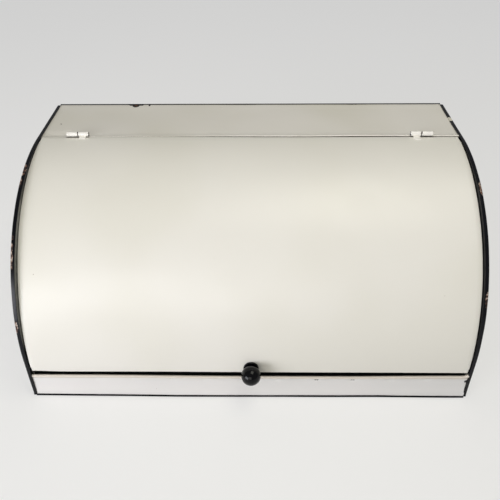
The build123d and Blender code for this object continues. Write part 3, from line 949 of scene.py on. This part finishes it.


# %% [markdown]
# Shade is painted into three places: the seam under the top's bead, the lid's edge under the two hinges as a
# painted shadow, and the rail's lip with the strip just under it. Each of the three is a mask made from a place or
# a direction.


# %% Painted shade
def seam_painted_shade(add, place, colour):
    """Painted shade on the lower front of the top's bead, where it meets the lid."""
    away = add("SeparateXYZ", (place,)).outputs["Y"]
    normal = add("NewGeometry").outputs["Normal"]
    rises = add("SeparateXYZ", (normal,)).outputs["Z"]
    low = add("MapRange", (rises, 0.55, 0.25), **SMOOTH)
    at_front = add("MapRange", (away, y_at(77.5 * MM), y_at(78.5 * MM)), **SMOOTH)
    shaded = add("Math", (low, at_front), operation="MULTIPLY")
    return add("Mix", (shaded, colour, "#6F685B"), **COLOUR)


def hinge_painted_shadow(add, place, colour):
    """Painted shadow on the lid's top edge round and under the two hinges."""
    across, away, _ = add("SeparateXYZ", (place,)).outputs
    outward = add("Math", (across,), operation="ABSOLUTE")
    inner = add("MapRange", (outward, 172.5 * MM, 174.0 * MM), **SMOOTH)
    outer = add("MapRange", (outward, 199.0 * MM, 197.6 * MM), **SMOOTH)
    near = add("Math", (inner, outer), operation="MULTIPLY")
    at_edge = add("MapRange", (away, y_at(84.6 * MM), y_at(83.2 * MM), 0.0, 0.85), **SMOOTH)
    shaded = add("Math", (near, at_edge), operation="MULTIPLY")
    return add("Mix", (shaded, colour, "#544B3E"), **COLOUR)


def lip_painted_shade(add, place, colour):
    """A darker, warmer band along the rolled lip and just under it: painted shade under the lip."""
    height = add("SeparateXYZ", (place,)).outputs["Z"]
    shaded = add("MapRange", (height, 25.2 * MM, 26.4 * MM, 0.0, 0.8), **SMOOTH)
    return add("Mix", (shaded, colour, "#D8CDBE"), **COLOUR)


# %% The ivory pieces
TOP_MM = 208.1
top_chips = (
    (-135.3, 1.2, TOP_MM, 9.6, 3.4, 4.0),
    (-135.5, 3.4, TOP_MM, 4.4, 4.8, 4.0),
    (-119.5, 2.2, TOP_MM, 1.2, 3.2, 3.0),
    (122.0, 0.3, TOP_MM, 9.0, 1.5, 3.0),
    (136.0, 0.3, TOP_MM, 7.0, 1.2, 3.0),
    (-213.0, 50.0, TOP_MM, 1.1, 0.8, 2.0),
)
rail_chips = ((225.9, 261.3, 22.2, 2.6, 3.0, 2.4),)
hinge_chips = tuple(
    (side * x, 80.3, height, *half)
    for side in (-1, 1)
    for x, height, *half in (
        (174.0, 211.2, 1.0, 2.4, 2.4),
        (185.3, 211.6, 1.1, 2.9, 2.9),
        (197.4, 211.2, 0.9, 2.4, 2.6),
    )
)
ivory = enamel("ivory_vitreous_enamel", "#EBE8DF", "#E7E4D9")
# The lid gets a painted shadow on its edge under the hinges.
ivory_lid = enamel("ivory_vitreous_enamel_lid", "#EBE8DF", "#E7E4D9", painted_shade=hinge_painted_shadow)
# The top gets painted shade in the seam under its bead.
ivory_top = enamel(
    "ivory_vitreous_enamel_chipped", "#ECE8E0", "#E4E0D4", chips=top_chips, waviness=0.2 * MM, painted_shade=seam_painted_shade
)
# The rail's two tones are a little darker and greyer than the lid's: painted shade, as the low rail gets less
# light. Its lip and the strip under it also get a band of painted shade.
ivory_rail = enamel("ivory_vitreous_enamel_rail", "#E7E4E0", "#E2E0DC", chips=rail_chips, painted_shade=lip_painted_shade)
hinge_white = enamel("white_enamelled_hinge", "#F4F1EA", "#EFECE2", gloss=0.22, chips=hinge_chips)
print(len(bpy.data.materials), "materials so far")

# %% [markdown]
# ### Black enamel
# The folded edges are black enamel. It is nearly blue-black, glossy, and worn through where hands and the wall
# rub it: on the round of the edge there are ragged chips to grey ground coat, to rust and to the ivory below.
# The wear is kept on the round by the surface's own direction.

# %% Black enamel
BLACK_GLOSS = 0.2
rim_chips = (
    (-229.3, 137.5, 201.3, 3.0, 9.0, 5.0),
    (-229.3, 153.0, 195.4, 1.6, 8.0, 5.0),
    (-229.3, 202.6, 164.8, 2.2, 2.4, 2.6),
    (-229.4, 210.0, 158.0, 1.7, 5.0, 6.0),
    (-229.4, 216.5, 151.0, 2.0, 5.0, 6.5),
    (-229.4, 222.0, 144.6, 2.0, 4.0, 5.0),
    (-229.4, 251.5, 91.8, 2.4, 4.0, 9.5),
    (229.5, 159.7, 192.8, 2.6, 9.0, 6.0),
    (229.5, 239.6, 119.0, 2.4, 5.0, 14.0),
)
rim_splashes = ((227.6, 41.5, 209.0, 3.2, 4.6, 2.6),)


def black_enamel(name, sheen, worn):
    material, add, shader, place = start_material(name, BLACK_GLOSS)
    tone = mottling(add, place, 60 * MM, 2.0, 0.3, 0.7)
    colour = add("Mix", (tone, "#06070B", "#0C0D12"), **COLOUR)
    haze = mottling(add, place, 18 * MM, 3.0, 0.3, 0.7, BLACK_GLOSS * 0.8, BLACK_GLOSS * 1.3)
    peel = add("TexNoise", (place, 1 / (4 * MM), 1.0))
    bump = add("Bump", {"Height": peel, "Distance": 0.04 * MM})
    if worn:
        normal = add("NewGeometry").outputs["Normal"]
        sideways = add("Math", (add("SeparateXYZ", (normal,)),), operation="ABSOLUTE")
        bent = add("MapRange", (sideways, 0.1, 0.35), **SMOOTH)
        not_flat = add("MapRange", (sideways, 0.97, 0.75), **SMOOTH)
        on_round = add("Math", (bent, not_flat), operation="MULTIPLY")
        rubbed = mottling(add, place, 4.5 * MM, 4.0, 0.60, 0.66)
        patchy = mottling(add, place, 40 * MM, 1.0, 0.45, 0.6)
        rubbed = add("Math", (rubbed, patchy), operation="MULTIPLY")
        rubbed = add("Math", (rubbed, on_round), operation="MULTIPLY")
        chipped = add("MapRange", (blotches(add, place, rim_chips, 1.9 * MM), 0.0, 0.15), **SMOOTH)
        bare = add("Math", (rubbed, chipped), operation="MAXIMUM")
        grains = add("TexNoise", (place, 1 / (2.6 * MM), 2.0))
        is_pale = add("MapRange", (grains, 0.52, 0.60), **SMOOTH)
        is_rust = add("MapRange", (grains, 0.44, 0.48), **SMOOTH)
        under = add("Mix", (is_pale, "#6A4C3E", "#B7A99C"), **COLOUR)
        under = add("Mix", (is_rust, "#2C2422", under), **COLOUR)
        colour = add("Mix", (bare, colour, under), **COLOUR)
        splashes = blotches(add, place, rim_splashes, 0.6 * MM)
        splashed = add("MapRange", (splashes, 0.0, 0.1), **SMOOTH)
        colour = add("Mix", (splashed, colour, "#DEDACB"), **COLOUR)
        matt = add("Math", (bare, 0.6), operation="MULTIPLY")
        haze = add("Math", (haze, matt), operation="MAXIMUM")
        bump = add("Bump", {"Height": bare, "Distance": -0.2 * MM, "Normal": bump})
    finish = {"Base Color": colour, "Roughness": haze, "Normal": bump, "Specular IOR Level": sheen}
    feed(material, shader, finish)
    return material


black_rim = black_enamel("black_vitreous_enamel_worn", 0.18, True)
black_plain = black_enamel("black_vitreous_enamel", 0.1, False)

# %% [markdown]
# ### Satin grey ledge
# The strips inside the rebate were only ground-coated: one thin, dark coat without the gloss of the cover coat. Its
# mid grey is
# partly a painted sheen, with fine mottling from the sprayed slip. High up, low down and on the right it is painted
# near black:
# painted shade under the lid and the rims, and in the gap under the lid.

# %% Ledge grey, with painted sheen and painted shade
ledge_grey, add, shader, place = start_material("ledge_grey_painted_sheen_and_shade", 0.38)
mottle = mottling(add, place, 3 * MM, 3.0, 0.35, 0.65)
across, _, up_from = add("SeparateXYZ", (place,)).outputs
high = add("MapRange", (up_from, 178 * MM, 196 * MM), **SMOOTH)
on_right = add("MapRange", (across, -50 * MM, 50 * MM), **SMOOTH)
low_down = add("MapRange", (up_from, 80 * MM, 60 * MM), **SMOOTH)
# Painted shade: near black high up under the lid and rims, on the right, and low down in the gap under the lid.
in_shade = add("Math", (high, on_right), operation="MAXIMUM")
in_shade = add("Math", (in_shade, low_down), operation="MAXIMUM")
# A mid grey that is partly painted sheen.
painted_sheen_grey = add("Mix", (mottle, "#74746F", "#8A8984"), **COLOUR)
colour = add("Mix", (in_shade, painted_sheen_grey, "#161618"), **COLOUR)
grain = add("TexNoise", (place, 1 / (1.2 * MM), 2.0))
bump = add("Bump", {"Height": grain, "Distance": 0.03 * MM})
feed(ledge_grey, shader, {"Base Color": colour, "Normal": bump})

# %% [markdown]
# ### Stove lacquer on the knob
# The ball and its foot are turned wood under black stove lacquer, dipped and baked. It is a deep black with a
# wet gloss, a few dust nibs, and faint rings from the lathe. The rings are round the knob's own axis, so a
# Mapping node turns the coordinates to that axis.

# %% Lacquer
lacquer, add, shader, place = start_material("black_stove_lacquer", 0.08, ior=1.52)
centred = add("VectorMath", (place, knob_seat), operation="SUBTRACT")
turned = add("Mapping", {"Vector": centred, "Rotation": (-knob_angle, 0, 0)})
wave = {"Vector": turned, "Scale": 1 / (6 * MM), "Distortion": 0.4}
rings = add("TexWave", wave, bands_direction="Z").outputs["Fac"]
bump = add("Bump", {"Height": rings, "Distance": 0.01 * MM})
nibs = add("TexNoise", (place, 1 / (6 * MM), 2.0))
bump = add("Bump", {"Height": nibs, "Distance": 0.05 * MM, "Normal": bump})
tone = mottling(add, place, 9 * MM, 2.0, 0.35, 0.7)
colour = add("Mix", (tone, "#050507", "#0B0B0D"), **COLOUR)
feed(lacquer, shader, {"Base Color": colour, "Normal": bump, "Specular IOR Level": 0.18})

# %% [markdown]
# ### Zinc-plated steel
# Washer and screw are cold-drawn steel with bright zinc. The plating is pale and metallic, with drawing lines
# across and a soft cloudiness where it has dulled.

# %% Zinc
zinc, add, shader, place = start_material("bright_zinc_plated_steel", 0.3, metallic=1.0)
cloud = mottling(add, place, 2.5 * MM, 3.0, 0.3, 0.7)
colour = add("Mix", (cloud, "#A9ACAE", "#C6C8C6"), **COLOUR)
haze = mottling(add, place, 1.5 * MM, 2.0, 0.3, 0.7, 0.29, 0.42)
stretched = add("Mapping", {"Vector": place, "Scale": (1, 6, 6)})
lines = add("TexNoise", (stretched, 1 / (1.5 * MM), 2.0))
bump = add("Bump", {"Height": lines, "Distance": 0.02 * MM})
feed(zinc, shader, {"Base Color": colour, "Roughness": haze, "Normal": bump})

# %% [markdown]
# ### Browned steel
# The hinge pins were drawn steel and have browned in a kitchen's damp air. Rust is matt and barely metallic,
# and it lies in fine spots over darker steel.

# %% Browned pins
browned, add, shader, place = start_material("browned_steel", 0.6, metallic=0.3)
spots = mottling(add, place, 1.1 * MM, 3.0, 0.42, 0.58)
colour = add("Mix", (spots, "#2A2320", "#5E3F2C"), **COLOUR)
bump = add("Bump", {"Height": spots, "Distance": 0.04 * MM})
feed(browned, shader, {"Base Color": colour, "Normal": bump})

# %% [markdown]
# ## Assembly
# Each piece gets its finish, rides on the body that carries it, and says which CAD node it stands for. The CAD
# nodes that stay get a finish of the same set.


# %% Pieces, bodies and slots
def finish_with(piece, material):
    piece.data.materials.clear()
    piece.data.materials.append(material)


pieces = (
    (lid, ivory_lid, "lid", "cream_enamel", "lid_panel"),
    (rim, black_rim, "case", "black_enamel", "right_rim"),
    (left_rim, black_rim, "case", "black_enamel", "left_rim"),
    (rail, ivory_rail, "case", "cream_enamel", "front_rail"),
    (foot_bead, black_plain, "case", "black_enamel", "front_base_trim"),
    (top, ivory_top, "case", "cream_enamel", "top_panel"),
    (edge_strip, black_plain, "case", "black_enamel", "rear_top_trim"),
    (knob, lacquer, "lid", "black_lacquer", "knob"),
    (foot, lacquer, "lid", "black_lacquer", "knob_foot"),
    (hinges[0], hinge_white, "case", "cream_enamel", "right_hinge_fixed_leaf"),
    (hinges[1], hinge_white, "case", "cream_enamel", "left_hinge_fixed_leaf"),
    (hinges[2], hinge_white, "lid", "cream_enamel", "right_hinge_moving_leaf"),
    (hinges[3], hinge_white, "lid", "cream_enamel", "left_hinge_moving_leaf"),
)
for piece, material, body, slot, stands_for in pieces:
    finish_with(piece, material)
    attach(piece, body)
    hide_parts(stands_for)
    print(f"{piece.name} rides on {body} for {stands_for}")

kept = {
    ivory: ("left_end_panel", "right_end_panel", "back_panel", "base_panel"),
    ledge_grey: ("left_lid_ledge", "right_lid_ledge", "sill_strip"),
    black_plain: ("rear_base_trim",),
    browned: ("left_hinge_pin", "right_hinge_pin"),
    zinc: ("knob_washer", "knob_screw"),
}
for material, names in kept.items():
    for name in names:
        finish_with(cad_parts[name], material)
    print(material.name, "on", ", ".join(names))

# %% [markdown]
# ## Studio
# The box stands on a pale floor that runs to the horizon. Three wide soft lamps light it: a low one at the front
# left, like a window, a room's light from the front, and a weak one over the right side, like a ceiling. The
# world fills in, but is dark in reflections, so that the black enamel stays black.

# %% Floor
FLOOR_GLOW = 0.48
clear_selection()
bpy.ops.mesh.primitive_plane_add(size=14, location=(0, 2, 0))
floor = bpy.context.object
floor.name = "studio_floor"
floor_paint, add, shader, place = start_material("matt_floor_paint", 0.7)
clouds = add("TexNoise", (place, 1 / 0.6, 2.0))
pale = add("Mix", (clouds, "#B0AFAC", "#ABAAA7"), **COLOUR)
path = add("LightPath").outputs
seen = add("Math", (path["Is Camera Ray"], path["Is Glossy Ray"]), operation="MAXIMUM")
seen = add("Math", (seen, path["Is Transmission Ray"]), operation="MAXIMUM")
colour = add("Mix", (seen, "#8E8C88", pale), **COLOUR)
glow = add("Math", (seen, FLOOR_GLOW), operation="MULTIPLY")
feed(floor_paint, shader, {"Base Color": colour, "Emission Color": "#FFFFFF", "Emission Strength": glow})
finish_with(floor, floor_paint)
floor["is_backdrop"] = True

# %% Lamps and world
AIM = Vector((0, -0.05, 0.1))
# Each lamp is its name, its distance in metres, its elevation and azimuth in degrees, its power and its colour.
LAMPS = (
    ("window", 1.5, 6, -48, 17.4, "#F5F6FF"),
    ("room", 1.9, 20, -12, 8.2, "#FFFDF6"),
    ("ceiling", 1.2, 76, 75, 4.8, "#FFFCEE"),
)
for name, away, lift, azimuth, power, colour in LAMPS:
    lift, azimuth = radians(lift), radians(azimuth)
    towards = Vector((sin(azimuth) * cos(lift), -cos(azimuth) * cos(lift), sin(lift)))
    data = bpy.data.lights.new(name, "AREA")
    data.shape = "RECTANGLE"
    data.size, data.size_y = 0.6 * away, 0.5 * away
    data.energy = power
    data.color = linear(colour)[:3]
    made = bpy.data.objects.new(name, data)
    made.location = AIM + away * towards
    made.rotation_euler = (AIM - made.location).to_track_quat("-Z", "Y").to_euler()
    made.visible_camera = False
    bpy.context.scene.collection.objects.link(made)

world = bpy.data.worlds.new("studio_world")
bpy.context.scene.world = world
world.use_nodes = True
background = world.node_tree.nodes["Background"]
add = partial(node, world)
path = add("LightPath").outputs
in_gloss = add("Math", (path["Is Glossy Ray"], 0.25), operation="MULTIPLY")
seen = add("Math", (path["Is Camera Ray"], path["Is Transmission Ray"]), operation="MAXIMUM")
seen = add("Math", (seen, in_gloss), operation="MAXIMUM")
strength = add("MapRange", (seen, 0.0, 1.0, 0.36, 0.9), **SMOOTH)
feed(world, background, {"Color": "#D9DADC", "Strength": strength})

bpy.context.scene.view_settings.view_transform = "Standard"
print(len(LAMPS), "lamps")

# %% Sizes, and the end
visual_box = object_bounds()
sizes = {"cad": [list(corner) for corner in cad_box], "visual": [list(corner) for corner in visual_box]}
for label, (low, high) in sizes.items():
    print(label, [round(1000 * (b - a), 1) for a, b in zip(low, high)], "mm")
